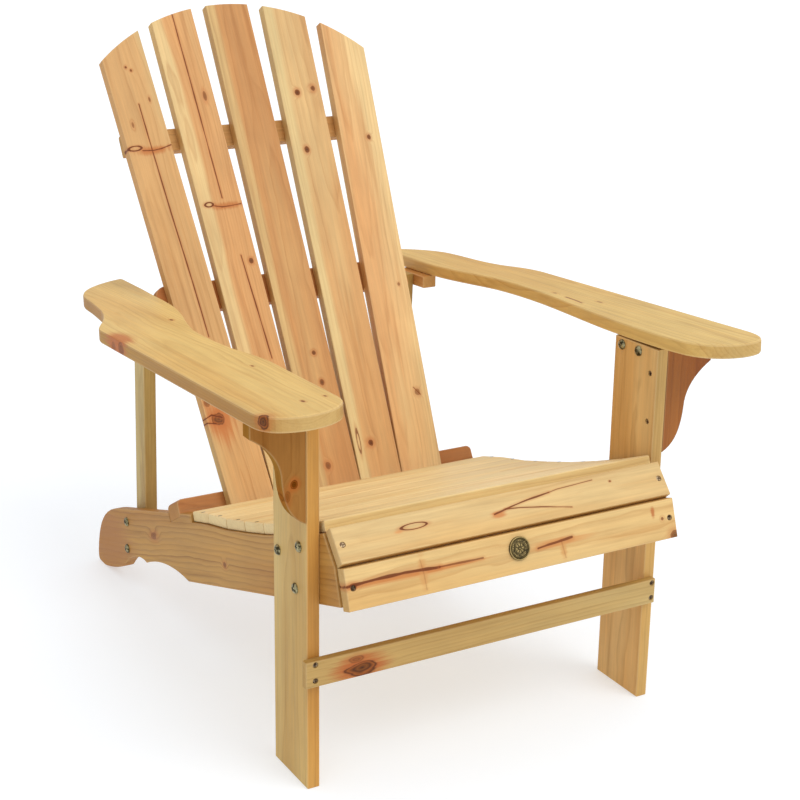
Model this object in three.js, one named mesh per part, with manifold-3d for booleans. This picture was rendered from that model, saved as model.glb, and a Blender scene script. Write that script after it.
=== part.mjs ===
// Wooden armchair of the slatted garden kind: sloping side rails, a scooped slatted seat, a fanned
// back of five boards, broad level arms on shaped brackets, all screwed and bolted together.
// Millimetres, +Z up. The sitter faces -Y, the left-hand pieces are on the -X side, and the
// origin is on the floor under the middle of the overall box.
import * as THREE from "three";
import { mergeVertices } from "three/addons/utils/BufferGeometryUtils.js";
import Module from "manifold-3d";

const wasm = await Module();
wasm.setup();

// ---------------------------------------------------------------- driving dimensions
const BOARD = 18; // thickness of the legs, rails, back slats and battens
const EASE = 1.6; // rounding of the long arrises
const GAP = 0.3; // daylight between pieces that meet at an angle

const RAIL_IN = 233; // inner face of each side rail, from the middle of the chair
const RAIL_OUT = RAIL_IN + BOARD; // rail outer face, and the leg's inner face
const LEG_OUT = RAIL_OUT + BOARD;
const LEG_DEPTH = 94;

const ARM_THICK = 19;
const ARM_TOP = 535.7; // height of the arm's top above the leg's front face
const ARM_TILT = THREE.MathUtils.degToRad(3.76); // falls towards the back

const RAIL_SLOPE = THREE.MathUtils.degToRad(18.5);
const RAIL_HEEL = [420.9, 114.6]; // y and z of the rail's lower edge where its curved foot begins
const RAIL_WIDTH = 100.8;
const RAIL_FRONT = 500; // from the heel point to the rail's square front end

const SEAT_HALF = 246;
const SEAT_THICK = 15;
const SEAT_JOINT = 1.2; // gap between neighbouring seat slats
// where the seat's top line passes each joint: distance along the rail, height over its lower edge
const SEAT_LINE = [[46, 104.5], [104, 103], [168, 98], [231, 96.5], [293, 96], [356, 97.8],
  [419, 101], [481, 106]];

const NOSE_HALF = 247.5;
const NOSE_THICK = 15.7;
const NOSE_TOP = [497, 97.5]; // front face of the nose slat, in the rail's coordinates
const NOSE_BOTTOM = [515.8, 53.6];
const APRON_TOP = 48;
const APRON_BOTTOM = -4.7;
const BADGE_RADIUS = 15.2;

const BACK_FOOT = [433, 222.15]; // y and z of the back's front face at seat level
const BACK_LEAN = THREE.MathUtils.degToRad(30);
const BACK_DROP = 30; // how far the slats reach below seat level
const SLAT_COUNT = 5;
const SLAT_WIDTH = 70.9;
const SLAT_PITCH = 71.2; // at the slats' lower ends
const SLAT_OFFSET = 3; // the fan is centred a little to the right of the chair's middle
const SLAT_FAN = THREE.MathUtils.degToRad(1.82); // turn between neighbouring slats
const CROWN = 774; // top of the middle slat, from seat level
const CROWN_RADIUS = 340;
const CROWN_SHIFT = -2.5; // the crown's arc is centred a little to the left of the fan's middle

const BATTEN_HALF = 251; // half length of the lowest batten
const UPPER_BATTEN_HALF = 209;
const POST_IN = 213;
const POST_DEPTH = 37.6;
const POST_LEAN = 0.0508; // forward run per unit of height

// the stretcher sits a little to the left, and so do its screws, by the inset
const STRETCHER = { left: -276, right: 263, bottom: 149.5, top: 185.3, thick: 12, inset: 3 };

// ---------------------------------------------------------------- colours
const WOOD = { pale: 0xe0bd80, honey: 0xdba96c, rosy: 0xd9a26d, brown: 0xb07442 };
const METAL = { zinc: 0xa8a384, bronze: 0x6b5a3a };

// ---------------------------------------------------------------- frames of reference
const X = new THREE.Vector3(1, 0, 0);
const Y = new THREE.Vector3(0, 1, 0);
const Z = new THREE.Vector3(0, 0, 1);
const ALONG_RAIL = new THREE.Vector3(0, -Math.cos(RAIL_SLOPE), Math.sin(RAIL_SLOPE));
const OVER_RAIL = new THREE.Vector3(0, Math.sin(RAIL_SLOPE), Math.cos(RAIL_SLOPE));
const UP_BACK = new THREE.Vector3(0, Math.sin(BACK_LEAN), Math.cos(BACK_LEAN));
const OUT_BACK = new THREE.Vector3().crossVectors(X, UP_BACK);
const ARM_RUN = new THREE.Vector3(0, Math.cos(ARM_TILT), -Math.sin(ARM_TILT));

const backEdge = BACK_FOOT[0] + CROWN * UP_BACK.y - BOARD * OUT_BACK.y;
const ARM_TIP = -103; // foremost point of the arms, from the legs' front faces
const SHIFT = new THREE.Vector3(0, -(backEdge + ARM_TIP) / 2, 0);

// a point given along and over the side rail, x from the middle of the chair
function onRail(x, [s, t]) {
  return new THREE.Vector3(x, RAIL_HEEL[0], RAIL_HEEL[1])
    .addScaledVector(ALONG_RAIL, s)
    .addScaledVector(OVER_RAIL, t);
}

// a point on the back: x, height up the back from seat level, depth behind the front face
function onBack(x, up, depth) {
  return new THREE.Vector3(x, BACK_FOOT[0], BACK_FOOT[1])
    .addScaledVector(UP_BACK, up)
    .addScaledVector(OUT_BACK, -depth);
}

// height of the arm's underside at y
function armUnderside(y) {
  return ARM_TOP - ARM_THICK / Math.cos(ARM_TILT) - y * Math.tan(ARM_TILT);
}

// ---------------------------------------------------------------- solids
function toManifold(geometry) {
  geometry.deleteAttribute("normal");
  geometry.deleteAttribute("uv");
  const merged = mergeVertices(geometry, 1e-4);
  return new wasm.Manifold(new wasm.Mesh({
    numProp: 3,
    vertProperties: merged.attributes.position.array,
    triVerts: new Uint32Array(merged.index.array),
  }));
}

function toGeometry(manifold) {
  const mesh = manifold.getMesh();
  const geometry = new THREE.BufferGeometry();
  geometry.setAttribute("position", new THREE.BufferAttribute(mesh.vertProperties, 3));
  geometry.setIndex(new THREE.BufferAttribute(mesh.triVerts, 1));
  geometry.computeVertexNormals();
  return geometry;
}

// An outline drawn on the axes u and v at origin, given a thickness along u x v, arrises eased.
function board(outline, thickness, origin, u, v, ease = EASE) {
  const geometry = new THREE.ExtrudeGeometry(outline, {
    depth: thickness - 2 * ease,
    bevelThickness: ease,
    bevelSize: ease,
    bevelOffset: -ease,
    bevelSegments: 2,
    curveSegments: 10,
  });
  geometry.translate(0, 0, ease);
  const w = new THREE.Vector3().crossVectors(u, v);
  geometry.applyMatrix4(new THREE.Matrix4().makeBasis(u, v, w).setPosition(origin));
  return toManifold(geometry);
}

// A turned solid: the profile's radius and height, its height running along the given axis.
function turned(profile, origin, axis, segments = 20) {
  const points = profile.map(([radius, height]) => new THREE.Vector2(radius, height));
  const geometry = new THREE.LatheGeometry(points, segments);
  geometry.applyQuaternion(new THREE.Quaternion().setFromUnitVectors(Y, axis));
  geometry.translate(origin.x, origin.y, origin.z);
  return toManifold(geometry);
}

function outlineOf(points) {
  return new THREE.Shape(points.map(([a, b]) => new THREE.Vector2(a, b)));
}

function rectangle(a0, b0, a1, b1) {
  return outlineOf([[a0, b0], [a1, b0], [a1, b1], [a0, b1]]);
}

// a strip symmetric about x = 0 whose two upper corners are rounded
function roundedStrip(half, bottom, top, radius) {
  const shape = new THREE.Shape();
  shape.moveTo(-half, bottom);
  shape.lineTo(half, bottom);
  shape.lineTo(half, top - radius);
  shape.absarc(half - radius, top - radius, radius, 0, Math.PI / 2);
  shape.lineTo(radius - half, top);
  shape.absarc(radius - half, top - radius, radius, Math.PI / 2, Math.PI);
  return shape;
}

// ---------------------------------------------------------------- the parts list
const parts = new Map();

function add(name, solid, colour, metal = false) {
  parts.set(name, { solid, colour, metal });
}

// side is -1 for the left-hand piece and +1 for the right-hand one
const SIDES = [["left", -1], ["right", 1]];

// x at which a board lying between two distances from the middle starts its +X thickness
function lowX(side, inner, outer) {
  return side < 0 ? -outer : inner;
}

function addFrontLegs() {
  const rearTop = armUnderside(LEG_DEPTH) - GAP;
  const frontTop = armUnderside(0) - 3;
  const outline = outlineOf([[0, 0], [LEG_DEPTH, 0], [LEG_DEPTH, rearTop], [0, frontTop]]);
  for (const [word, side] of SIDES) {
    const origin = new THREE.Vector3(lowX(side, RAIL_OUT, LEG_OUT), 0, 0);
    add(`front_leg_${word}`, board(outline, BOARD, origin, Y, Z), WOOD.honey);
  }
}

// height over the rail's lower edge at which the rail meets the floor
function floorLine(s) {
  return -(RAIL_HEEL[1] + s * ALONG_RAIL.z) / OVER_RAIL.z;
}

function railOutline() {
  const shape = new THREE.Shape();
  const noseRun = (NOSE_BOTTOM[0] - NOSE_TOP[0]) / (NOSE_TOP[1] - NOSE_BOTTOM[1]);
  const noseBack = NOSE_TOP[0] - NOSE_THICK * Math.hypot(1, noseRun) - GAP;
  const chamfer = (t) => noseBack + (NOSE_TOP[1] - t) * noseRun;
  const bearing = SEAT_LINE.map(([s, t]) => [s, t - SEAT_THICK - GAP]);
  const lastBearing = bearing[bearing.length - 1][1];
  const chamferFoot = NOSE_TOP[1] - (RAIL_FRONT - noseBack) / noseRun;

  shape.moveTo(0, 0);
  shape.lineTo(RAIL_FRONT, 0);
  shape.lineTo(RAIL_FRONT, chamferFoot);
  shape.lineTo(chamfer(lastBearing), lastBearing);
  bearing.reverse().forEach(([s, t]) => shape.lineTo(s, t));
  shape.lineTo(bearing[bearing.length - 1][0] - GAP, RAIL_WIDTH);
  shape.lineTo(-270, RAIL_WIDTH);
  shape.bezierCurveTo(-335, RAIL_WIDTH, -372, 78, -396, 30);
  shape.quadraticCurveTo(-402, 16, -397, floorLine(-397));
  shape.lineTo(-374, floorLine(-374));
  shape.quadraticCurveTo(-330, 0, -281, 7.3);
  shape.bezierCurveTo(-262, 16, -248, 26, -209, 26);
  shape.quadraticCurveTo(-183, 26, -171, 18.6);
  shape.bezierCurveTo(-110, 28, -50, 20, 0, 0);
  return shape;
}

function addSideRails() {
  const outline = railOutline();
  const lower = lowerBatten(GAP);
  for (const [word, side] of SIDES) {
    const origin = onRail(-lowX(-side, RAIL_IN, RAIL_OUT), [0, 0]);
    const rail = board(outline, BOARD, origin, ALONG_RAIL, OVER_RAIL);
    add(`side_rail_${word}`, rail.subtract(lower), WOOD.honey);
  }
}

function addStretcher() {
  const { left, right, bottom, top, thick } = STRETCHER;
  const solid = board(rectangle(left, bottom, right, top), thick, new THREE.Vector3(), X, Z);
  add("front_stretcher", solid, WOOD.pale);
}

// The arms were sawn by eye and differ in plan. Both are drawn with x growing outwards from the
// middle of the chair and y running back along the arm from the leg's front face.
function leftArmOutline() {
  const shape = new THREE.Shape();
  shape.moveTo(362, -46);
  shape.lineTo(362, 440);
  shape.bezierCurveTo(361, 462, 347, 478, 338, 498);
  shape.bezierCurveTo(330, 514, 322, 538, 317, 562);
  shape.bezierCurveTo(313, 592, 309, 622, 308, 645);
  shape.bezierCurveTo(306, 690, 283, 722, 254, 741);
  shape.quadraticCurveTo(234, 755, 215, 761);
  shape.quadraticCurveTo(209, 762, 209, 754);
  shape.lineTo(211, 668);
  shape.bezierCurveTo(213.5, 630, 213.5, 590, 217, 540);
  shape.bezierCurveTo(224, 470, 244, 430, 253, 374);
  shape.bezierCurveTo(257, 330, 256, 300, 252, 250);
  shape.bezierCurveTo(246, 210, 240, 190, 240, 150);
  shape.lineTo(245, -38);
  shape.bezierCurveTo(246, -70, 272, -92, 312, -93);
  shape.bezierCurveTo(340, -90, 362, -80, 362, -46);
  return shape;
}

function rightArmOutline() {
  const shape = new THREE.Shape();
  shape.moveTo(362, -50);
  shape.lineTo(361, 430);
  shape.bezierCurveTo(360, 462, 350, 486, 342, 504);
  shape.bezierCurveTo(334, 524, 329, 552, 327, 585);
  shape.bezierCurveTo(325, 615, 324, 640, 319, 660);
  shape.bezierCurveTo(309, 692, 290, 718, 262, 737);
  shape.quadraticCurveTo(251, 742, 250, 730);
  shape.lineTo(247, 690);
  shape.bezierCurveTo(246, 650, 246, 620, 247, 590);
  shape.bezierCurveTo(248, 540, 262, 490, 270, 450);
  shape.bezierCurveTo(277, 415, 277, 350, 273, 300);
  shape.bezierCurveTo(269, 250, 262, 200, 257, 150);
  shape.bezierCurveTo(253, 110, 250, 60, 251, 0);
  shape.lineTo(254, -40);
  shape.bezierCurveTo(256, -78, 285, ARM_TIP, 318, ARM_TIP);
  shape.bezierCurveTo(345, ARM_TIP, 361, -85, 362, -50);
  return shape;
}

function mirrored(shape) {
  return outlineOf(shape.getPoints(10).map(({ x, y }) => [-x, y]).reverse());
}

function addArms() {
  const origin = new THREE.Vector3(0, 0, armUnderside(0));
  const left = mirrored(leftArmOutline());
  add("armrest_left", board(left, ARM_THICK, origin, X, ARM_RUN, 2.5), WOOD.pale);
  add("armrest_right", board(rightArmOutline(), ARM_THICK, origin, X, ARM_RUN, 2.5), WOOD.pale);
}

// S-curved brackets that carry the arms' outer halves, flush with the legs' front faces
function addBrackets() {
  const thick = 20;
  const top = armUnderside(thick) - GAP;
  const shape = new THREE.Shape();
  shape.moveTo(LEG_OUT, 366.5);
  shape.bezierCurveTo(292, 376, 299, 400, 301.5, 427);
  shape.bezierCurveTo(302, 452, 318, 472, 343, 487);
  shape.lineTo(343, top);
  shape.lineTo(LEG_OUT, top);
  const origin = new THREE.Vector3(0, thick, 0);
  add("arm_bracket_left", board(mirrored(shape), thick, origin, X, Z), WOOD.brown);
  add("arm_bracket_right", board(shape, thick, origin, X, Z), WOOD.brown);
}

// y of the rear post's front face at height z
function postFront(z) {
  return 632 - (z - 136) * POST_LEAN;
}

function addRearPosts() {
  const top = armUnderside(postFront(475)) - GAP;
  const rearTop = top - POST_DEPTH * Math.tan(ARM_TILT);
  const outline = outlineOf([
    [postFront(73), 73],
    [postFront(58) + POST_DEPTH, 58],
    [postFront(rearTop) + POST_DEPTH, rearTop],
    [postFront(top), top],
  ]);
  for (const [word, side] of SIDES) {
    const origin = new THREE.Vector3(lowX(side, POST_IN, RAIL_IN), 0, 0);
    add(`rear_post_${word}`, board(outline, RAIL_IN - POST_IN, origin, Y, Z), WOOD.honey);
  }
}

// short blocks under each arm: beside the leg's top and beside the rear post's top
function addCleats() {
  const cleats = [
    { where: "front", inner: LEG_OUT, thick: 18, y0: 20.5, y1: 94, height: 34 },
    { where: "rear", inner: RAIL_IN, thick: 24, y0: 585, y1: 668, height: 19 },
  ];
  for (const { where, inner, thick, y0, y1, height } of cleats) {
    const zFront = armUnderside(y0) - GAP;
    const zRear = armUnderside(y1) - GAP;
    const outline = outlineOf([[y0, zFront - height], [y1, zRear - height], [y1, zRear], [y0, zFront]]);
    for (const [word, side] of SIDES) {
      const origin = new THREE.Vector3(lowX(side, inner, inner + thick), 0, 0);
      add(`arm_cleat_${where}_${word}`, board(outline, thick, origin, Y, Z), WOOD.brown);
    }
  }
}

// height up the back at which a line through (x, up) with the given turn meets the crown's arc
function crownPoint(x, up, turn) {
  const direction = new THREE.Vector2(Math.sin(turn), Math.cos(turn));
  const start = new THREE.Vector2(x - CROWN_SHIFT, up - (CROWN - CROWN_RADIUS));
  const along = start.dot(direction);
  const run = Math.sqrt(along * along - start.lengthSq() + CROWN_RADIUS ** 2) - along;
  return new THREE.Vector2(x, up).addScaledVector(direction, run);
}

function backSlatOutline(place) {
  const turn = place * SLAT_FAN;
  const middle = place * SLAT_PITCH;
  const across = new THREE.Vector2(Math.cos(turn), -Math.sin(turn)).multiplyScalar(SLAT_WIDTH / 2);
  const foot = [middle, -BACK_DROP];
  const left = [foot[0] - across.x, foot[1] - across.y];
  const right = [foot[0] + across.x, foot[1] + across.y];
  const topLeft = crownPoint(left[0], left[1], turn);
  const topRight = crownPoint(right[0], right[1], turn);
  const centre = CROWN - CROWN_RADIUS;
  const shape = new THREE.Shape();
  shape.moveTo(left[0], left[1]);
  shape.lineTo(right[0], right[1]);
  shape.lineTo(topRight.x, topRight.y);
  const from = Math.atan2(topRight.y - centre, topRight.x - CROWN_SHIFT);
  const to = Math.atan2(topLeft.y - centre, topLeft.x - CROWN_SHIFT);
  shape.absarc(CROWN_SHIFT, centre, CROWN_RADIUS, from, to);
  return shape;
}

function addBackSlats() {
  const tints = [WOOD.rosy, WOOD.honey, WOOD.rosy, WOOD.honey, WOOD.rosy];
  for (let i = 0; i < SLAT_COUNT; i += 1) {
    const outline = backSlatOutline(i - (SLAT_COUNT - 1) / 2);
    const slat = board(outline, BOARD, onBack(SLAT_OFFSET, 0, BOARD), X, UP_BACK);
    add(`back_slat_${i + 1}`, slat, tints[i]);
  }
}

// the deep batten under the slats, which rests in notches in the side rails
function lowerBatten(grow) {
  const outline = roundedStrip(BATTEN_HALF + grow, -6 - grow, 19.5 + grow, 8);
  const depth = 44 + grow;
  const ease = grow > 0 ? 0.01 : EASE;
  return board(outline, depth, onBack(0, 0, BOARD + GAP + depth), X, UP_BACK, ease);
}

function addBattens() {
  const middle = roundedStrip(POST_IN - GAP, 292.5, 338.5, 18);
  const upper = roundedStrip(UPPER_BATTEN_HALF, 547.5, 583, 5);
  const origin = onBack(0, 0, 2 * BOARD + GAP);
  add("back_batten_lower", lowerBatten(0), WOOD.honey);
  add("back_batten_middle", board(middle, BOARD, origin, X, UP_BACK), WOOD.brown);
  add("back_batten_upper", board(upper, BOARD, origin, X, UP_BACK), WOOD.brown);
}

// each seat slat bridges two neighbouring joints of the seat line, slat 1 at the back
function addSeatSlats() {
  for (let i = 0; i + 1 < SEAT_LINE.length; i += 1) {
    const rear = onRail(0, SEAT_LINE[i]);
    const front = onRail(0, SEAT_LINE[i + 1]);
    const run = new THREE.Vector3().subVectors(rear, front);
    const width = run.length() - SEAT_JOINT;
    run.normalize();
    const up = new THREE.Vector3().crossVectors(X, run);
    const origin = front.clone()
      .addScaledVector(run, SEAT_JOINT / 2)
      .addScaledVector(up, -SEAT_THICK);
    const outline = rectangle(-SEAT_HALF, 0, SEAT_HALF, width);
    add(`seat_slat_${i + 1}`, board(outline, SEAT_THICK, origin, X, run, 2), WOOD.pale);
  }
}

function noseFrame() {
  const bottom = onRail(0, NOSE_BOTTOM);
  const rise = new THREE.Vector3().subVectors(onRail(0, NOSE_TOP), bottom);
  const width = rise.length();
  rise.normalize();
  const out = new THREE.Vector3().crossVectors(X, rise);
  return { bottom, rise, width, out };
}

function addSeatFront() {
  const { bottom, rise, width, out } = noseFrame();
  const nose = rectangle(-NOSE_HALF, 0, NOSE_HALF, width);
  const noseOrigin = bottom.clone().addScaledVector(out, -NOSE_THICK);
  add("nose_slat", board(nose, NOSE_THICK, noseOrigin, X, rise, 2), WOOD.pale);
  const apron = rectangle(-NOSE_HALF, APRON_BOTTOM, NOSE_HALF, APRON_TOP);
  const apronOrigin = onRail(0, [RAIL_FRONT + GAP, 0]);
  add("front_apron", board(apron, BOARD, apronOrigin, X, OVER_RAIL), WOOD.pale);
}

// a plain round badge: raised rim, dished field, low boss
function addBadge() {
  const face = RAIL_FRONT + BOARD + 2 * GAP;
  const r = BADGE_RADIUS;
  const rim = [[r, 0], [r, 2.2], [r - 0.9, 3], [r - 2.2, 3], [r - 3.1, 2]];
  const profile = [[0, 0], ...rim, [r * 0.35, 1.7], [0, 1.7]];
  add("badge", turned(profile, onRail(0, [face, 26.7]), ALONG_RAIL, 40), METAL.bronze, true);
}

// ---------------------------------------------------------------- fasteners
const BOLT = { head: 7.2, rise: 4.2, shank: 3 };
const SCREW = { head: 3.3, sunk: 1.1, cone: 2.4, shank: 1.9, hole: 4 };
const SCREW_LENGTH = 38;
const LONG_SCREW_LENGTH = 42;

// a stepped hole of the given profile, cut from every listed piece
function drill(names, bore, origin, axis) {
  const tool = turned(bore, origin, axis, 16);
  for (const name of names) {
    const part = parts.get(name);
    part.solid = part.solid.subtract(tool);
  }
}

// the crossed driver recess in a head whose face stands at the origin
function crossRecess(origin, axis, span, width, depth) {
  const turn = new THREE.Quaternion().setFromUnitVectors(Y, axis);
  const [slot, crossing] = [[span, width], [width, span]].map(([a, b]) => {
    const geometry = new THREE.BoxGeometry(a, 2 * depth, b);
    geometry.applyQuaternion(turn);
    geometry.translate(origin.x, origin.y, origin.z);
    return toManifold(geometry);
  });
  return slot.add(crossing);
}

// dome-headed bolt through a stack of boards with a hexagon nut behind; axis points out of the head
function addBolt(name, through, origin, axis, grip) {
  const { head, rise, shank } = BOLT;
  const tail = grip + 6.5;
  const radius = shank + GAP;
  const bore = [[0, -grip - 1], [radius, -grip - 1], [radius, 1], [0, 1]];
  drill(through, bore, origin, axis);
  const body = [[0, -tail], [shank, -tail], [shank, 0], [head, 0], [head, 0.8],
    [head * 0.86, rise * 0.62], [head * 0.5, rise * 0.93], [0, rise]];
  const nut = [[0, -grip - 5], [5.6, -grip - 5], [5.6, -grip], [0, -grip]];
  const solid = turned(body, origin, axis).add(turned(nut, origin, axis, 6));
  const crown = origin.clone().addScaledVector(axis, rise);
  add(name, solid.subtract(crossRecess(crown, axis, 7, 1.5, 1.8)), METAL.zinc, true);
}

// flat-headed screw, its head sunk in a widened mouth; axis points out of the head
function addScrew(name, through, origin, axis, length) {
  const { head, sunk, cone, shank, hole } = SCREW;
  const bore = [[0, -length - 1], [shank + GAP, -length - 1], [shank + GAP, -sunk - cone - GAP],
    [hole, -sunk - 0.4], [hole, 1], [0, 1]];
  drill(through, bore, origin, axis);
  const body = [[0, -length], [shank * 0.4, -length], [shank, 4 - length], [shank, -sunk - cone],
    [head, -sunk], [0, -sunk]];
  const face = origin.clone().addScaledVector(axis, -sunk);
  const solid = turned(body, origin, axis, 16).subtract(crossRecess(face, axis, 4.2, 1, 1.2));
  add(name, solid, METAL.zinc, true);
}

function addSideBolts(word, side) {
  const out = X.clone().multiplyScalar(side);
  const into = out.clone().negate();
  const leg = `front_leg_${word}`;
  const rail = `side_rail_${word}`;
  [[80, 302], [21, 329], [31, 269]].forEach(([y, z], i) => {
    const origin = new THREE.Vector3(side * LEG_OUT, y, z);
    addBolt(`leg_bolt_${word}_${i + 1}`, [leg, rail], origin, out, 2 * BOARD);
  });
  [[666, 118], [667, 72]].forEach(([y, z], i) => {
    const origin = new THREE.Vector3(side * RAIL_OUT, y, z);
    addBolt(`post_bolt_${word}_${i + 1}`, [rail, `rear_post_${word}`], origin, out, 38);
  });
  [[78, 501], [41, 502]].forEach(([y, z], i) => {
    const origin = new THREE.Vector3(side * RAIL_OUT, y, z);
    addBolt(`arm_bolt_${word}_${i + 1}`, [leg, `arm_cleat_front_${word}`], origin, into, 36);
  });
}

function addSideScrews(word, side) {
  const forward = Y.clone().negate();
  [180.5, 158.5].forEach((z, i) => {
    const middle = side * (LEG_OUT - BOARD / 2) - STRETCHER.inset;
    const origin = new THREE.Vector3(middle, -STRETCHER.thick, z);
    const through = ["front_stretcher", `front_leg_${word}`];
    addScrew(`stretcher_screw_${word}_${i + 1}`, through, origin, forward, SCREW_LENGTH);
  });
  const into = X.clone().multiplyScalar(-side);
  [478, 410].forEach((z, i) => {
    const origin = new THREE.Vector3(side * RAIL_OUT, 13.8, z);
    const through = [`front_leg_${word}`, `arm_bracket_${word}`];
    addScrew(`bracket_screw_${word}_${i + 1}`, through, origin, into, LONG_SCREW_LENGTH);
  });
  const { bottom, rise, out } = noseFrame();
  const middle = side * (RAIL_IN + BOARD / 2 - 4);
  const nose = bottom.clone().addScaledVector(rise, 24).setX(middle);
  addScrew(`nose_screw_${word}`, ["nose_slat", `side_rail_${word}`], nose, out, SCREW_LENGTH);
  const apron = onRail(middle, [RAIL_FRONT + BOARD + GAP, 23]);
  const apronStack = ["front_apron", `side_rail_${word}`];
  addScrew(`apron_screw_${word}`, apronStack, apron, ALONG_RAIL, SCREW_LENGTH);
}

// ---------------------------------------------------------------- assembly
addFrontLegs();
addSideRails();
addStretcher();
addArms();
addBrackets();
addRearPosts();
addCleats();
addBackSlats();
addBattens();
addSeatSlats();
addSeatFront();
addBadge();
for (const [word, side] of SIDES) {
  addSideBolts(word, side);
  addSideScrews(word, side);
}

const group = new THREE.Group();
group.name = "armchair";
for (const [name, { solid, colour, metal }] of parts) {
  const material = new THREE.MeshStandardMaterial({
    color: colour,
    roughness: metal ? 0.35 : 0.7,
    metalness: metal ? 0.9 : 0,
  });
  material.name = `${name}_material`;
  const mesh = new THREE.Mesh(toGeometry(solid).translate(SHIFT.x, SHIFT.y, SHIFT.z), material);
  mesh.name = name;
  group.add(mesh);
}

export default group;
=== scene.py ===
"""Looks of the wooden armchair: solid-textured fir on every board, small screws, badge, studio."""
import math
import random

import bpy
from mathutils import Matrix, Vector


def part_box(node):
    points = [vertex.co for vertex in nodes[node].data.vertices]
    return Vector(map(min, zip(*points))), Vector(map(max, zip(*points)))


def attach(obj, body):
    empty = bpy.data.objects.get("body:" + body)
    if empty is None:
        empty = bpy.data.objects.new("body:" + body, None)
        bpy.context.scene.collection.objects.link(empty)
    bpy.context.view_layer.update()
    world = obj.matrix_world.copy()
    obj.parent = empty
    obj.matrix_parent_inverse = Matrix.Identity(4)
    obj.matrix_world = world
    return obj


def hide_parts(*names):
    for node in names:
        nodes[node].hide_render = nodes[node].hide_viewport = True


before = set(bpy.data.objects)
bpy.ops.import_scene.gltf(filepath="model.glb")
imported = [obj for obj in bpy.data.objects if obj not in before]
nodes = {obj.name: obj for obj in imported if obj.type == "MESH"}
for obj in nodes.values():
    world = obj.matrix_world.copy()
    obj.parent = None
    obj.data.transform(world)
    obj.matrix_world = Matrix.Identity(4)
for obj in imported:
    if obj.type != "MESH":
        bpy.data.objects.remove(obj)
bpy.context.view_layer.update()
scene = bpy.context.scene

# ------------------------------------------------------------------ directions on the chair
MM = 0.001
X = Vector((1, 0, 0))
Y = Vector((0, 1, 0))
Z = Vector((0, 0, 1))
RAIL_SLOPE = math.radians(18.5)
BACK_LEAN = math.radians(30)
ARM_TILT = math.radians(3.76)
SLAT_FAN = math.radians(1.82)
POST_LEAN = 0.0508
RAIL_IN = 233 * MM
BOARD = 18 * MM
ALONG_RAIL = Vector((0, -math.cos(RAIL_SLOPE), math.sin(RAIL_SLOPE)))
OVER_RAIL = Vector((0, math.sin(RAIL_SLOPE), math.cos(RAIL_SLOPE)))
UP_BACK = Vector((0, math.sin(BACK_LEAN), math.cos(BACK_LEAN)))
ARM_RUN = Vector((0, math.cos(ARM_TILT), -math.sin(ARM_TILT)))
POST_RISE = Vector((0, -POST_LEAN, 1)).normalized()
SIDES = ("left", "right")


def middle(name):
    low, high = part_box(name)
    return (Vector(low) + Vector(high)) / 2


# ------------------------------------------------------------------ camera and studio
def add_camera():
    azimuth, elevation, roll = -0.520824, 0.326792, 0.015403
    ahead = Vector((-math.sin(azimuth) * math.cos(elevation),
                    math.cos(azimuth) * math.cos(elevation), -math.sin(elevation)))
    level = Vector((math.cos(azimuth), math.sin(azimuth), 0))
    above = level.cross(ahead)
    right = math.cos(roll) * level + math.sin(roll) * above
    up = right.cross(ahead)
    data = bpy.data.cameras.new("camera")
    data.sensor_width = 36
    data.lens = 78.80
    data.shift_x = -0.0014
    data.shift_y = -0.0039
    data.clip_end = 50
    camera = bpy.data.objects.new("camera", data)
    camera.matrix_world = Matrix.Translation((-1.1455, -2.1196, 1.1945)) @ Matrix(
        (right, up, -ahead)).transposed().to_4x4()
    scene.collection.objects.link(camera)
    scene.camera = camera


def add_sun(name, towards_light, spread, strength, colour=(1, 1, 1)):
    data = bpy.data.lights.new(name, "SUN")
    data.angle = math.radians(spread)
    data.energy = strength
    data.color = colour
    light = bpy.data.objects.new(name, data)
    light.rotation_euler = Vector(towards_light).to_track_quat("Z", "Y").to_euler()
    scene.collection.objects.link(light)


def add_studio():
    scene.view_settings.view_transform = "Standard"
    world = bpy.data.worlds.new("studio")
    world.use_nodes = True
    background = world.node_tree.nodes["Background"]
    background.inputs["Color"].default_value = (1, 1, 1, 1)
    background.inputs["Strength"].default_value = 0.74
    scene.world = world
    add_sun("key", (0.35, -0.75, 1.0), 40, 1.15, (1, 0.985, 0.96))
    add_sun("top", (-0.1, 0.2, 1.0), 70, 0.35)

    mesh = bpy.data.meshes.new("floor")
    reach = 14
    mesh.from_pydata([(-reach, -reach, 0), (reach, -reach, 0), (reach, reach, 0), (-reach, reach, 0)],
                     [], [(0, 1, 2, 3)])
    floor = bpy.data.objects.new("floor", mesh)
    floor.location.z = -0.0005
    material = bpy.data.materials.new("floor_paint")
    material.use_nodes = True
    shader = material.node_tree.nodes["Principled BSDF"]
    shader.inputs["Base Color"].default_value = (0.52, 0.56, 0.61, 1)
    shader.inputs["Emission Color"].default_value = (1, 1, 1, 1)
    shader.inputs["Emission Strength"].default_value = 0.49
    shader.inputs["Roughness"].default_value = 0.9
    mesh.materials.append(material)
    scene.collection.objects.link(floor)


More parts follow.
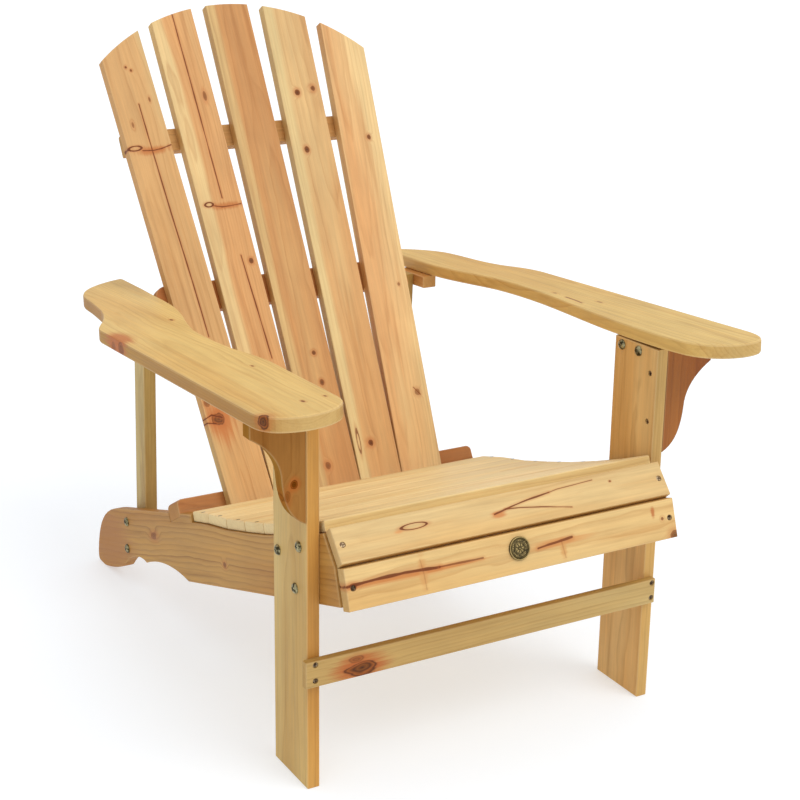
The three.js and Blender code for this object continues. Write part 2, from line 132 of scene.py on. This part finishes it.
# ------------------------------------------------------------------ shader arithmetic
class Shade:
    """One material's node tree. Every method adds a node and hands back its output socket."""

    def __init__(self, name):
        self.material = bpy.data.materials.new(name)
        self.material.use_nodes = True
        self.tree = self.material.node_tree
        self.surface = self.tree.nodes["Principled BSDF"]

    def node(self, kind, inputs=(), **settings):
        made = self.tree.nodes.new(kind)
        for key, value in settings.items():
            setattr(made, key, value)
        for key, value in dict(inputs).items():
            self.feed(made.inputs[key], value)
        return made

    def feed(self, socket, value):
        if isinstance(value, bpy.types.NodeSocket):
            self.tree.links.new(value, socket)
        else:
            socket.default_value = value

    def math(self, operation, *values, clamp=False):
        made = self.node("ShaderNodeMath", operation=operation, use_clamp=clamp)
        for socket, value in zip(made.inputs, values):
            self.feed(socket, value)
        return made.outputs[0]

    def add(self, a, b):
        return self.math("ADD", a, b)

    def sub(self, a, b):
        return self.math("SUBTRACT", a, b)

    def mul(self, a, b):
        return self.math("MULTIPLY", a, b)

    def high(self, a, b):
        return self.math("MAXIMUM", a, b)

    def smooth(self, value, low, high, start=0.0, end=1.0):
        made = self.node("ShaderNodeMapRange", interpolation_type="SMOOTHSTEP")
        for key, number in (("Value", value), ("From Min", low), ("From Max", high),
                            ("To Min", start), ("To Max", end)):
            self.feed(made.inputs[key], number)
        return made.outputs["Result"]

    def moved(self, vector, scale, offset):
        made = self.node("ShaderNodeMapping", {"Vector": vector, "Scale": scale, "Location": offset})
        return made.outputs["Vector"]

    def noise(self, vector, detail=1.0, roughness=0.5):
        made = self.node("ShaderNodeTexNoise", {"Vector": vector, "Scale": 1.0, "Detail": detail,
                                                "Roughness": roughness})
        return made.outputs["Fac"]

    def blend(self, factor, a, b, mode="MIX"):
        made = self.node("ShaderNodeMix", data_type="RGBA", blend_type=mode)
        self.feed(made.inputs[0], factor)
        self.feed(made.inputs[6], a)
        self.feed(made.inputs[7], b)
        return made.outputs[2]

    def ramp(self, value, stops):
        made = self.node("ShaderNodeValToRGB")
        band = made.color_ramp
        while len(band.elements) < len(stops):
            band.elements.new(0.5)
        for element, (place, colour) in zip(band.elements, stops):
            element.position = place
            element.color = colour
        self.feed(made.inputs["Fac"], value)
        return made.outputs["Color"]

    def grey_ramp(self, value, stops):
        return self.ramp(value, [(place, (level, level, level, 1)) for place, level in stops])


def rgb(code):
    """Linear colour from the usual six-digit code."""
    levels = [int(code[i:i + 2], 16) / 255 for i in (0, 2, 4)]
    linear = [c / 12.92 if c <= 0.04045 else ((c + 0.055) / 1.055) ** 2.4 for c in levels]
    return (*linear, 1)


# ------------------------------------------------------------------ fir
# Sapwood, heartwood and latewood colours of each sort of board
PALETTES = {
    "arm": ("e8c580", "dfb26c", "b98243"),
    "back": ("e9c792", "dea56f", "b06c34"),
    "seat": ("edd09a", "e6bf82", "c08a4c"),
    "frame": ("dcb67a", "cfa060", "9c6c30"),
    "red": ("c48a55", "b06f3e", "824520"),
}
HALO = "b8622a"
CRACK = "6c3008"
# Painted shade: the narrow side faces of a board are multiplied by this darker tint
SIDE_SHADE = (0.90, 0.84, 0.70)


class Board:
    """How one board was sawn from its log, and the marks on it in millimetres from its middle."""

    def __init__(self, name, palette, grain, across, seed, heart=0.5, sap=None, tint=(1, 1, 1),
                 figure=0.32, edge=SIDE_SHADE, sawn="b08a52", gloss=0.24, pith=None, ring=None,
                 knots=(), burrs=(), cracks=(), eyes=(), stains=()):
        draw = random.Random(seed)
        self.name = name
        self.palette = palette
        self.grain = grain.normalized()
        self.across = across.normalized()
        self.seed = seed
        self.heart = heart
        self.sap = sap
        self.tint = tint
        self.edge = edge
        self.sawn = sawn
        self.gloss = gloss
        self.figure = figure
        drawn_pith = (draw.uniform(-0.05, 0.05), -draw.uniform(0.035, 0.09))
        drawn_ring = draw.uniform(0.0030, 0.0052)
        self.pith = pith or drawn_pith
        self.ring = ring or drawn_ring
        self.tilt = draw.uniform(-0.02, 0.02)
        self.knots = knots
        self.burrs = burrs
        self.cracks = cracks
        self.eyes = eyes
        self.stains = stains


def board_space(shade, board):
    """Metres along, across and through the board from its middle, and masks of its faces."""
    through = board.grain.cross(board.across)
    turn = Matrix((board.grain, board.across, through))
    place = -(turn @ middle(board.name))
    made = shade.node("ShaderNodeTexCoord")
    mapping = shade.node("ShaderNodeMapping", {
        "Vector": made.outputs["Object"], "Rotation": turn.to_euler(), "Location": place})
    split = shade.node("ShaderNodeSeparateXYZ", {"Vector": mapping.outputs["Vector"]})

    def facing(direction):
        dot = shade.node("ShaderNodeVectorMath", {0: made.outputs["Normal"], 1: direction},
                         operation="DOT_PRODUCT")
        return shade.math("ABSOLUTE", dot.outputs["Value"])

    end, side, face = (facing(d) for d in (board.grain, board.across, through))
    masks = {
        "end": shade.smooth(end, 0.35, 1.0),
        "side": shade.smooth(side, 0.30, 0.95),
        # eased edges, where a highlight is painted
        "painted_arris_highlight": shade.mul(shade.smooth(face, 0.10, 0.30), shade.smooth(face, 0.97, 0.88)),
    }
    return mapping.outputs["Vector"], split.outputs, masks


def spot_distance(shade, sockets, centre, halves):
    """Distance from a mark's middle, 1 at its rim. All three lists have one entry for each axis."""
    total = None
    for socket, place, half in zip(sockets, centre, halves):
        step = shade.mul(shade.sub(socket, place * MM), 1 / (half * MM))
        square = shade.mul(step, step)
        total = square if total is None else shade.add(total, square)
    return shade.math("SQRT", total)


def line_distance(shade, u, v, start, end):
    """Distance in metres from a straight stretch of a crack."""
    (u0, v0), (u1, v1) = ((a * MM, b * MM) for a, b in (start, end))
    length_sq = (u1 - u0) ** 2 + (v1 - v0) ** 2
    pu, pv = shade.sub(u, u0), shade.sub(v, v0)
    along = shade.math("MULTIPLY_ADD", pu, (u1 - u0) / length_sq,
                       shade.mul(pv, (v1 - v0) / length_sq), clamp=True)
    du = shade.sub(pu, shade.mul(along, u1 - u0))
    dv = shade.sub(pv, shade.mul(along, v1 - v0))
    return shade.math("SQRT", shade.add(shade.mul(du, du), shade.mul(dv, dv)))


def annual_rings(shade, board, u, v, w, sway, swell):
    """Strength of the dark latewood line at each point."""
    pith_v, pith_w = board.pith
    across = shade.add(shade.sub(v, pith_v), shade.mul(sway, 0.030))
    through = shade.add(shade.sub(w, pith_w), shade.mul(u, board.tilt))
    through = shade.add(through, shade.mul(sway, 0.018))
    radius = shade.math("SQRT", shade.add(shade.mul(across, across), shade.mul(through, through)))
    turns = shade.add(shade.mul(radius, 1 / board.ring), swell)
    part = shade.math("FRACT", turns)
    late = shade.grey_ramp(part, [(0, 0.05), (0.45, 0.15), (0.78, 0.6), (0.9, 1), (1, 0.05)])
    year = shade.node("ShaderNodeTexWhiteNoise", {"W": shade.math("FLOOR", turns)},
                      noise_dimensions="1D").outputs["Value"]
    return shade.mul(late, shade.add(shade.mul(year, 0.8), 0.2))


def tinted(shade, colour, factor, tint):
    return shade.blend(factor, colour, (*tint, 1), "MULTIPLY")


def add_knots(shade, rims, colour, height):
    for rim, depth in rims:
        halo = shade.smooth(rim, 2.6, 0.9, 0.0, 0.5 * depth)
        colour = shade.blend(halo, colour, rgb(HALO))
        rings = shade.ramp(rim, [(0, rgb("3e1c04")), (0.3, rgb("7c4410")), (0.5, rgb("522806")),
                                 (0.75, rgb("98521a")), (0.93, rgb("3c1a04")), (1, rgb("703a10"))])
        inside = shade.smooth(rim, 1.15, 0.85, 0.0, depth)
        colour = shade.blend(inside, colour, rings)
        height = shade.sub(height, shade.mul(inside, 0.7))
    return colour, height


def add_cracks(shade, board, u, v, waver, colour, height):
    gaps = []
    for path, width, depth in board.cracks:
        gap = None
        for start, stop in zip(path, path[1:]):
            stretch = line_distance(shade, u, v, start, stop)
            gap = stretch if gap is None else shade.math("MINIMUM", gap, stretch)
        gaps.append((gap, width, depth))
    for centre_u, centre_v, half_u, half_v, width, depth in board.eyes:
        rim = spot_distance(shade, (u, v), (centre_u, centre_v), (half_u, half_v))
        off = shade.math("ABSOLUTE", shade.sub(rim, 1.0))
        gaps.append((shade.mul(off, min(half_u, half_v) * MM), width, depth))
    for gap, width, depth in gaps:
        gap = shade.add(gap, shade.mul(waver, 0.9 * width * MM))
        open_gap = shade.smooth(gap, width * 0.65 * MM, width * 0.3 * MM, 0.0, depth)
        bruise = shade.smooth(gap, width * 2.2 * MM, width * 0.4 * MM, 0.0, depth * 0.4)
        colour = shade.blend(bruise, colour, rgb(HALO))
        colour = shade.blend(open_gap, colour, rgb(CRACK))
        height = shade.sub(height, shade.mul(open_gap, 1.2))
    return colour, height


def fir(board):
    shade = Shade(f"{board.name}_fir")
    space, (u, v, w), masks = board_space(shade, board)
    draw = random.Random(board.seed * 7 + 1)

    def grain_noise(along, across, detail=1.0, roughness=0.5):
        offset = tuple(draw.uniform(-40, 40) for _ in range(3))
        return shade.noise(shade.moved(space, (along, across, across), offset), detail, roughness)

    sway = shade.sub(grain_noise(2.2, 7), 0.5)
    ripple = shade.sub(grain_noise(11, 42, 2), 0.5)
    waver = shade.sub(grain_noise(28, 120, 2), 0.5)
    streak = grain_noise(6, 230, 3, 0.6)
    fibre = grain_noise(32, 1500, 2, 0.6)
    wisp = grain_noise(3.2, 70, 3, 0.55)
    broad = grain_noise(1.8, 15, 2)
    cloud = grain_noise(9, 24, 3, 0.6)

    rims = []
    swell = shade.mul(ripple, 1.1)
    spots = [((u, v), knot[:2], knot[2:4], knot[4]) for knot in board.knots]
    spots += [((u, v, w), burr[:3], (burr[3],) * 3, burr[4]) for burr in board.burrs]
    for sockets, centre, halves, depth in spots:
        rim = spot_distance(shade, sockets, centre, halves)
        rim = shade.add(rim, shade.add(shade.mul(ripple, 0.9), shade.mul(waver, 0.9)))
        rims.append((rim, depth))
        swell = shade.add(swell, shade.smooth(rim, 0.6, 3.4, 1.1, 0.0))
    late = annual_rings(shade, board, u, v, w, sway, swell)

    sap, heart, latewood = (rgb(code) for code in PALETTES[board.palette])
    ripe = shade.smooth(shade.add(broad, board.heart - 0.5), 0.34, 0.66)
    if board.sap is not None:
        bound = shade.add(v, shade.add(shade.mul(sway, 0.022), shade.mul(ripple, 0.007)))
        inner = shade.smooth(bound, board.sap * MM - 0.004, board.sap * MM + 0.006)
        ripe = shade.mul(inner, shade.add(shade.mul(ripe, 0.5), 0.5))
    colour = shade.blend(ripe, sap, heart)
    colour = shade.blend(shade.mul(late, board.figure), colour, latewood)
    colour = shade.blend(shade.smooth(wisp, 0.52, 0.74, 0.0, 0.34), colour, latewood)
    light = shade.add(shade.mul(streak, 0.34), shade.mul(fibre, 0.18))
    light = shade.add(light, shade.mul(cloud, 0.30))
    light = shade.add(light, 0.59)
    grey = shade.node("ShaderNodeCombineColor", {0: light, 1: light, 2: light})
    colour = shade.blend(1.0, colour, grey.outputs["Color"], "MULTIPLY")
    colour = tinted(shade, colour, 1.0, board.tint)
    # Painted shade: the narrow side faces are darkened by the board's side tint
    colour = tinted(shade, colour, masks["side"], board.edge)
    # End grain is blended towards its own colour; on the brackets that colour is dark, painted shade
    # on their curved faces
    colour = shade.blend(shade.mul(masks["end"], 0.5), colour, rgb(board.sawn))
    # Painted highlight: the eased edges are blended towards a pale colour
    colour = shade.blend(shade.mul(masks["painted_arris_highlight"], 0.16), colour, rgb("f3dcae"))
    height = shade.add(shade.mul(late, -0.35), shade.mul(fibre, 0.8))

    for centre_u, centre_v, half_u, half_v, tint in board.stains:
        reach = spot_distance(shade, (u, v), (centre_u, centre_v), (half_u, half_v))
        reach = shade.add(reach, shade.mul(shade.sub(streak, 0.5), 1.4))
        colour = shade.blend(shade.smooth(reach, 1.15, 0.35, 0.0, 0.8), colour, rgb(tint))
    colour, height = add_knots(shade, rims, colour, height)
    colour, height = add_cracks(shade, board, u, v, waver, colour, height)

    surface = shade.surface
    shade.feed(surface.inputs["Base Color"], colour)
    rough = shade.add(shade.mul(streak, 0.22), 0.42)
    shade.feed(surface.inputs["Roughness"], shade.add(rough, shade.mul(masks["end"], 0.2)))
    surface.inputs["Specular IOR Level"].default_value = board.gloss
    bump = shade.node("ShaderNodeBump", {"Height": height, "Strength": 0.4, "Distance": 0.0008})
    shade.feed(surface.inputs["Normal"], bump.outputs["Normal"])
    return shade.material


# Marks are lists of numbers in millimetres from the board's middle, along it first, then across:
# knots (along, across, half length, half width, depth of colour); burrs the same with a height
# through the board and one radius; cracks (points, width, depth of colour); eyes (along, across,
# half length, half width, line width, depth of colour); stains (along, across, halves, colour).
SLAT_MARKS = {
    1: dict(heart=0.62, tint=(0.88, 0.98, 0.93),
            knots=[(327, -3, 2.4, 2, 0.9), (321, 4, 2.4, 2, 0.9), (272, 20, 4, 1.6, 0.7),
                   (236, -18, 5, 2, 0.6), (-228, -18, 9, 9, 0.85), (-201, -29, 5, 4, 0.6)],
            eyes=[(199, -25, 3.6, 10.5, 1.7, 0.95)],
            cracks=[([(267, 1), (191, 1), (74, 2), (-14, 3.5), (-104, 4)], 1.8, 0.95),
                    ([(194, -14), (192, 3), (193, 16), (197, 34)], 1.8, 0.9),
                    ([(-224, -39), (-220, -27), (-227, -12)], 2.0, 0.9),
                    ([(-230, -38), (-234, -24)], 2.0, 0.9)],
            stains=[(-228, -16, 44, 24, "c4763c"), (192, 4, 8, 34, "bc7036")]),
    2: dict(heart=0.60, sap=-17, tint=(0.91, 0.92, 0.84),
            knots=[(255, 20, 8, 3, 0.7), (-13, 24, 4, 3.5, 0.9)],
            eyes=[(83, -20, 3.4, 6.5, 1.8, 0.95)],
            cracks=[([(394, 1), (313, 2), (205, 3), (91, 4)], 1.9, 0.9),
                    ([(81, -15), (77, 0), (77, 12), (78, 32)], 1.5, 0.85),
                    ([(-2, 10), (-82, 13), (-167, 16)], 1.9, 0.95)],
            stains=[(78, 8, 7, 30, "bc7036")]),
    3: dict(heart=0.62, sap=-24, tint=(0.78, 0.74, 0.62),
            knots=[(-171, 8, 3.4, 3.2, 0.9), (-218, 10, 4, 3.2, 0.8), (-346, -12, 5, 4, 0.7)]),
    4: dict(heart=0.56, sap=-19, tint=(0.88, 0.93, 0.86),
            knots=[(251, -6, 5, 4, 1.0), (257, 22, 5.4, 4.4, 0.9), (156, -10, 4.4, 3.8, 0.95),
                   (-320, -6, 5.5, 5, 1.0)],
            eyes=[(-315, -26, 17, 2.4, 1.3, 0.75)]),
    5: dict(heart=0.44, tint=(0.98, 0.99, 0.92),
            knots=[(186, 15, 4, 3.6, 0.9), (-60, 20, 2.4, 2, 0.6), (-236, 17, 5, 4, 0.6)],
            cracks=[([(-228, 12), (-240, 22)], 1.4, 0.7)]),
}

# Each arm's side-face tint is painted shade on its narrow side faces
ARM_MARKS = {
    "left": dict(heart=0.45, figure=0.5, tint=(0.90, 0.90, 0.86), edge=(0.62, 0.48, 0.26),
                 knots=[(111, 29, 4.4, 2.2, 1.0), (-188, 15, 3.4, 1.6, 1.0),
                        (-370, -5, 3.4, 1.8, 0.9), (-364, 27, 3.2, 1.6, 0.9)],
                 burrs=[(-403.5, -71.5, -4, 8, 1.0), (30, -79, 2, 9, 0.7), (58, -76, 4, 7, 0.5)],
                 stains=[(48, -72, 42, 24, "b8622a")]),
    "right": dict(heart=0.42, figure=0.5, tint=(0.89, 0.90, 0.84), edge=(0.94, 0.86, 0.73),
                  knots=[(-113, 0, 6, 2, 0.5), (-26, -18, 5, 2, 0.6)],
                  cracks=[([(-58, -21), (-82, -22), (-104, -25)], 2.4, 0.85)]),
}

# Each leg's side-face tint is painted shade on its narrow side faces
LEG_LOOKS = {
    "left": dict(tint=(0.86, 0.93, 0.82), edge=(1.02, 0.78, 0.52)),
    "right": dict(tint=(1.02, 0.99, 0.92), edge=(0.87, 0.90, 0.82)),
}
BRACKET_WOOD = {"left": "frame", "right": "red"}
# The brackets' dark end colours and side tints are painted shade on their curved faces under the arms
BRACKET_LOOKS = {
    "left": dict(tint=(0.52, 0.37, 0.235), edge=(0.95, 1.0, 0.75), sawn="8a6c34",
                 gloss=0.0),
    "right": dict(tint=(0.66, 0.50, 0.26), edge=(0.75, 0.8, 0.7), sawn="7c5428"),
}

# every third seat slat is a little paler
SEAT_TINTS = [(0.97, 0.98, 0.95), (0.99, 1.02, 0.99), (1.03, 1.06, 1.04)]


def all_boards():
    boards = []

    def board(name, palette, grain, across, **facts):
        boards.append(Board(name, palette, grain, across, len(boards) + 3, **facts))

    for i in range(1, 6):
        turn = SLAT_FAN * (i - 3)
        grain = math.cos(turn) * UP_BACK + math.sin(turn) * X
        across = math.cos(turn) * X - math.sin(turn) * UP_BACK
        board(f"back_slat_{i}", "back", grain, across, **SLAT_MARKS[i])

    for side in SIDES:
        board(f"armrest_{side}", "arm", ARM_RUN, X, **ARM_MARKS[side])
        board(f"front_leg_{side}", "frame", Z, Y, **LEG_LOOKS[side])
        rail_knots = [(-180, 18, 12, 6, 0.7), (89, -11, 5, 4, 0.7)] if side == "left" else []
        board(f"side_rail_{side}", "frame", ALONG_RAIL, OVER_RAIL, knots=rail_knots,
              tint=(0.71, 0.585, 0.34), figure=0.85, pith=(-0.22, -0.05), ring=0.0085,
              stains=[(-400, 0, 130, 70, "a86e34")])
        board(f"rear_post_{side}", "frame", POST_RISE, Y, tint=(0.75, 0.85, 0.81))
        knots = [(-20, 20.5, 5.5, 4.5, 1.0), (-34, 12, 8, 4, 0.5)] if side == "left" else []
        board(f"arm_bracket_{side}", BRACKET_WOOD[side], Z, X, knots=knots, **BRACKET_LOOKS[side])
        board(f"arm_cleat_front_{side}", "frame", Y, Z)
        board(f"arm_cleat_rear_{side}", "frame", Y, Z, tint=(0.92, 0.72, 0.55))

    slope = OVER_RAIL.cross(X)
    for i in range(1, 8):
        board(f"seat_slat_{i}", "seat", X, -slope, tint=SEAT_TINTS[i % 3], heart=0.35,
              sawn="dcc696")
    board("nose_slat", "seat", X, Vector((0, 0.665, 0.746)), tint=(0.85, 0.82, 0.74), figure=0.42,
          knots=[(162, 10, 2, 1.4, 0.8)],
          eyes=[(-137, 4.8, 18, 3.8, 1.1, 0.95)],
          cracks=[([(-22, -2), (7, 4), (31, 8), (66, 12)], 1.8, 0.9),
                  ([(66, 12), (80, 14), (136, 16.5)], 1.2, 0.7),
                  ([(-5, 2), (17, 0), (49, -5), (92, -13.5)], 1.3, 0.85)],
          stains=[(-160, 1, 9, 3, "d8965a"), (-16, -3, 12, 5, "c87a40")])
    board("front_apron", "seat", X, OVER_RAIL, tint=(0.87, 0.81, 0.68), figure=0.42,
          knots=[(226, 2, 2, 2, 0.7), (243, -23, 7, 7, 0.8),
                 (-238, 4, 5, 3, 0.8)],
          cracks=[([(-246, 4), (-208, 6), (-166, 6.5), (-117, 4)], 3.8, 0.92),
                  ([(-117, 4), (-54, 3)], 2.4, 0.7), ([(28, -0.5), (81, 4.5)], 3.0, 0.85),
                  ([(-143, 18), (-140, -1), (-139, -20)], 1.6, 0.22),
                  ([(64, 4), (66, -8), (68, -20)], 1.6, 0.22)],
          stains=[(-150, 3, 110, 6, "c87c3c"), (60, 2, 56, 6, "d08f52"),
                  (-141, 0, 7, 24, "cf9a5c"), (66, -8, 6, 17, "cf9a5c"), (212, 12, 4, 9, "b5622c")])
    board("front_stretcher", "frame", X, Z, knots=[(-190, -6, 20, 10, 1.0), (-199.5, 7, 12, 5, 0.6)],
          tint=(0.82, 0.92, 0.92), stains=[(-193.5, -4, 44, 17, "a84c1c")])
    board("back_batten_upper", "frame", X, UP_BACK, tint=(0.84, 0.72, 0.60))
    board("back_batten_middle", "red", X, UP_BACK, tint=(1.08, 1.04, 0.88))
    board("back_batten_lower", "red", X, UP_BACK, tint=(0.92, 0.88, 0.76))
    return boards


# ------------------------------------------------------------------ metal
def metal(name, colour, roughness, dirt, soiled=(0.42, 0.72)):
    shade = Shade(name)
    space = shade.node("ShaderNodeTexCoord").outputs["Object"]
    cloud = shade.noise(shade.moved(space, (260, 260, 260), (3, 5, 7)), 3)
    scratch = shade.noise(shade.moved(space, (900, 300, 700), (9, 2, 4)), 2)
    tone = shade.blend(shade.smooth(cloud, *soiled), rgb(colour), rgb(dirt))
    shade.feed(shade.surface.inputs["Base Color"], tone)
    shade.surface.inputs["Metallic"].default_value = 1.0
    shade.feed(shade.surface.inputs["Roughness"],
               shade.add(shade.mul(scratch, 0.25), roughness - 0.1))
    bump = shade.node("ShaderNodeBump", {"Height": scratch, "Strength": 0.2, "Distance": 0.0002})
    shade.feed(shade.surface.inputs["Normal"], bump.outputs["Normal"])
    return shade.material


def antique(name, high, low, top):
    """Bronze that is dark in its hollows and rubbed bright where it stands up, by height to top."""
    shade = Shade(name)
    height = shade.node("ShaderNodeAttribute", attribute_name="relief").outputs["Fac"]
    space = shade.node("ShaderNodeTexCoord").outputs["Object"]
    cloud = shade.noise(shade.moved(space, (420, 420, 420), (1, 8, 4)), 3)
    worn = shade.add(height, shade.mul(shade.sub(cloud, 0.5), top * 0.5))
    tone = shade.blend(shade.smooth(worn, top * 0.35, top * 0.9), rgb(low), rgb(high))
    shade.feed(shade.surface.inputs["Base Color"], tone)
    shade.surface.inputs["Metallic"].default_value = 0.85
    shade.feed(shade.surface.inputs["Roughness"], shade.add(shade.mul(cloud, 0.25), 0.34))
    return shade.material


def paint(name, material):
    slots = nodes[name].data.materials
    slots.clear()
    slots.append(material)


# ------------------------------------------------------------------ small turned pieces
def relief_disc(centre, axis, radius, height, rings, sectors):
    """Corners, faces and heights of a closed disc whose upper face rises to height(r, angle)."""
    across = axis.orthogonal().normalized()
    other = axis.cross(across)
    corners, levels, faces = [centre + axis * height(0, 0)], [height(0, 0)], []
    for i in range(1, rings + 1):
        r = radius * i / rings
        for k in range(sectors):
            angle = math.tau * k / sectors
            level = height(r, angle)
            out = math.cos(angle) * across + math.sin(angle) * other
            corners.append(centre + r * out + axis * level)
            levels.append(level)
    base = len(corners)
    for k in range(sectors):
        angle = math.tau * k / sectors
        corners.append(centre + radius * (math.cos(angle) * across + math.sin(angle) * other))
        levels.append(0)
    for k in range(sectors):
        after = (k + 1) % sectors
        faces.append((0, 1 + k, 1 + after))
        for i in range(rings - 1):
            low, high = 1 + i * sectors, 1 + (i + 1) * sectors
            faces.append((low + k, high + k, high + after, low + after))
        last = 1 + (rings - 1) * sectors
        faces.append((last + k, base + k, base + after, last + after))
    faces.append(tuple(base + k for k in reversed(range(sectors))))
    return corners, levels, faces


def add_discs(name, discs, material, replaced=()):
    """One piece made of several discs, riding on the chair's single body."""
    corners, levels, faces = [], [], []
    for disc_corners, disc_levels, disc_faces in discs:
        start = len(corners)
        corners += disc_corners
        levels += disc_levels
        faces += [tuple(start + k for k in face) for face in disc_faces]
    mesh = bpy.data.meshes.new(name)
    mesh.from_pydata(corners, [], faces)
    mesh.attributes.new("relief", "FLOAT", "POINT").data.foreach_set("value", levels)
    mesh.materials.append(material)
    piece = bpy.data.objects.new(name, mesh)
    scene.collection.objects.link(piece)
    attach(piece, "root")
    if replaced:
        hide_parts(*replaced)
    return piece


BADGE_RADIUS = 15.2 * MM
BADGE_THICKNESS = 3 * MM
BADGE_FIELD = 1.5 * MM
BADGE_RISE = 3.2 * MM


def ridge(r, middle_r, half):
    """A round moulding's height share at r, 1 on its crest and 0 beyond its half width."""
    off = abs(r - middle_r) / half
    return math.cos(off * math.pi / 2) if off < 1 else 0.0


def badge_height(r, angle):
    """Rim, two beaded borders, a ring of ticks in place of any lettering and a rosette."""
    share = r / BADGE_RADIUS
    rise = 1.5 * ridge(share, 16.0 / 17, 1.3 / 17)
    rise += 0.8 * ridge(share, 13.9 / 17, 0.5 / 17) + 0.8 * ridge(share, 8.6 / 17, 0.5 / 17)
    tick = abs(math.sin(angle * 14)) ** 0.5 * (0.6 + 0.4 * math.sin(angle * 5 + 1))
    rise += 0.95 * tick * ridge(share, 11.3 / 17, 2.0 / 17)
    petal = abs(math.cos(angle * 4)) * ridge(share, 4.8 / 17, 3.0 / 17)
    rise += 1.1 * petal + 1.2 * ridge(share, 0, 1.7 / 17)
    return BADGE_FIELD + rise * MM


def add_badge():
    centre = middle("badge") - ALONG_RAIL * BADGE_THICKNESS / 2
    disc = relief_disc(centre, ALONG_RAIL, BADGE_RADIUS, badge_height, 60, 224)
    material = antique("badge_bronze", "b09a66", "2e2818", BADGE_RISE)
    add_discs("badge_relief", [disc], material, ["badge"])


SCREW_RADIUS = 3.0 * MM
SCREW_STAND = 0.1 * MM
SCREW_DOME = 0.05 * MM
CROSS_FLOOR = 0.03 * MM
CROSS_REACH = 2.0 * MM
CROSS_HALF = 0.45 * MM


def screw_height(r, angle):
    """A nearly flat head with a crossed recess."""
    x, y = r * math.cos(angle), r * math.sin(angle)
    in_cross = max(abs(x), abs(y)) < CROSS_REACH and min(abs(x), abs(y)) < CROSS_HALF
    dome = SCREW_DOME * math.sqrt(max(0.0, 1 - (r / SCREW_RADIUS) ** 2))
    return CROSS_FLOOR if in_cross else SCREW_STAND + dome


def on_surface(node, start, direction):
    """Where a line from start first meets a CAD node, and the face's direction there."""
    piece = nodes[node]
    inverse = piece.matrix_world.inverted()
    found, place, normal, _ = piece.ray_cast(inverse @ start, inverse.to_3x3() @ direction)
    if not found:
        raise ValueError(f"no surface of {node} on that line")
    return piece.matrix_world @ place, (piece.matrix_world.to_3x3() @ normal).normalized()


def screw_head(node, start, direction):
    centre, normal = on_surface(node, start, direction)
    return relief_disc(centre, normal, SCREW_RADIUS, screw_height, 12, 24)


def add_seat_screws(material):
    """One screw through each end of every seat slat but the front one, into the rail below."""
    heads = []
    for i in range(1, 7):
        place = middle(f"seat_slat_{i}") + 0.1 * Z
        for side in (-1, 1):
            place.x = side * (RAIL_IN + BOARD / 2)
            heads.append(screw_head(f"seat_slat_{i}", place, -Z))
    add_discs("seat_screws", heads, material)


def add_batten_screws(material):
    """Two screws through each of the upper battens into every back slat, driven from behind."""
    behind = Vector((0, math.cos(BACK_LEAN), -math.sin(BACK_LEAN)))
    heads = []
    for batten, spread in (("back_batten_middle", 11 * MM), ("back_batten_upper", 9 * MM)):
        centre = middle(batten)
        for i in range(1, 6):
            slat = middle(f"back_slat_{i}")
            up = (centre - slat).dot(UP_BACK)
            x = slat.x + up * math.tan(SLAT_FAN * (i - 3))
            for step in (-1, 1):
                start = Vector((x, centre.y, centre.z)) + UP_BACK * spread * step + behind * 0.1
                heads.append(screw_head(batten, start, -behind))
    add_discs("batten_screws", heads, material)


add_camera()
add_studio()
for spec in all_boards():
    paint(spec.name, fir(spec))
bolt_zinc = metal("bolt_zinc", "a89f7a", 0.33, "3e3826", (0.40, 0.62))
screw_zinc = metal("screw_zinc", "a08c70", 0.34, "4e3828", (0.36, 0.60))
for name in nodes:
    if "bolt" in name:
        paint(name, bolt_zinc)
    elif "screw" in name:
        paint(name, screw_zinc)
paint("badge", bolt_zinc)
add_badge()
add_seat_screws(screw_zinc)
add_batten_screws(screw_zinc)
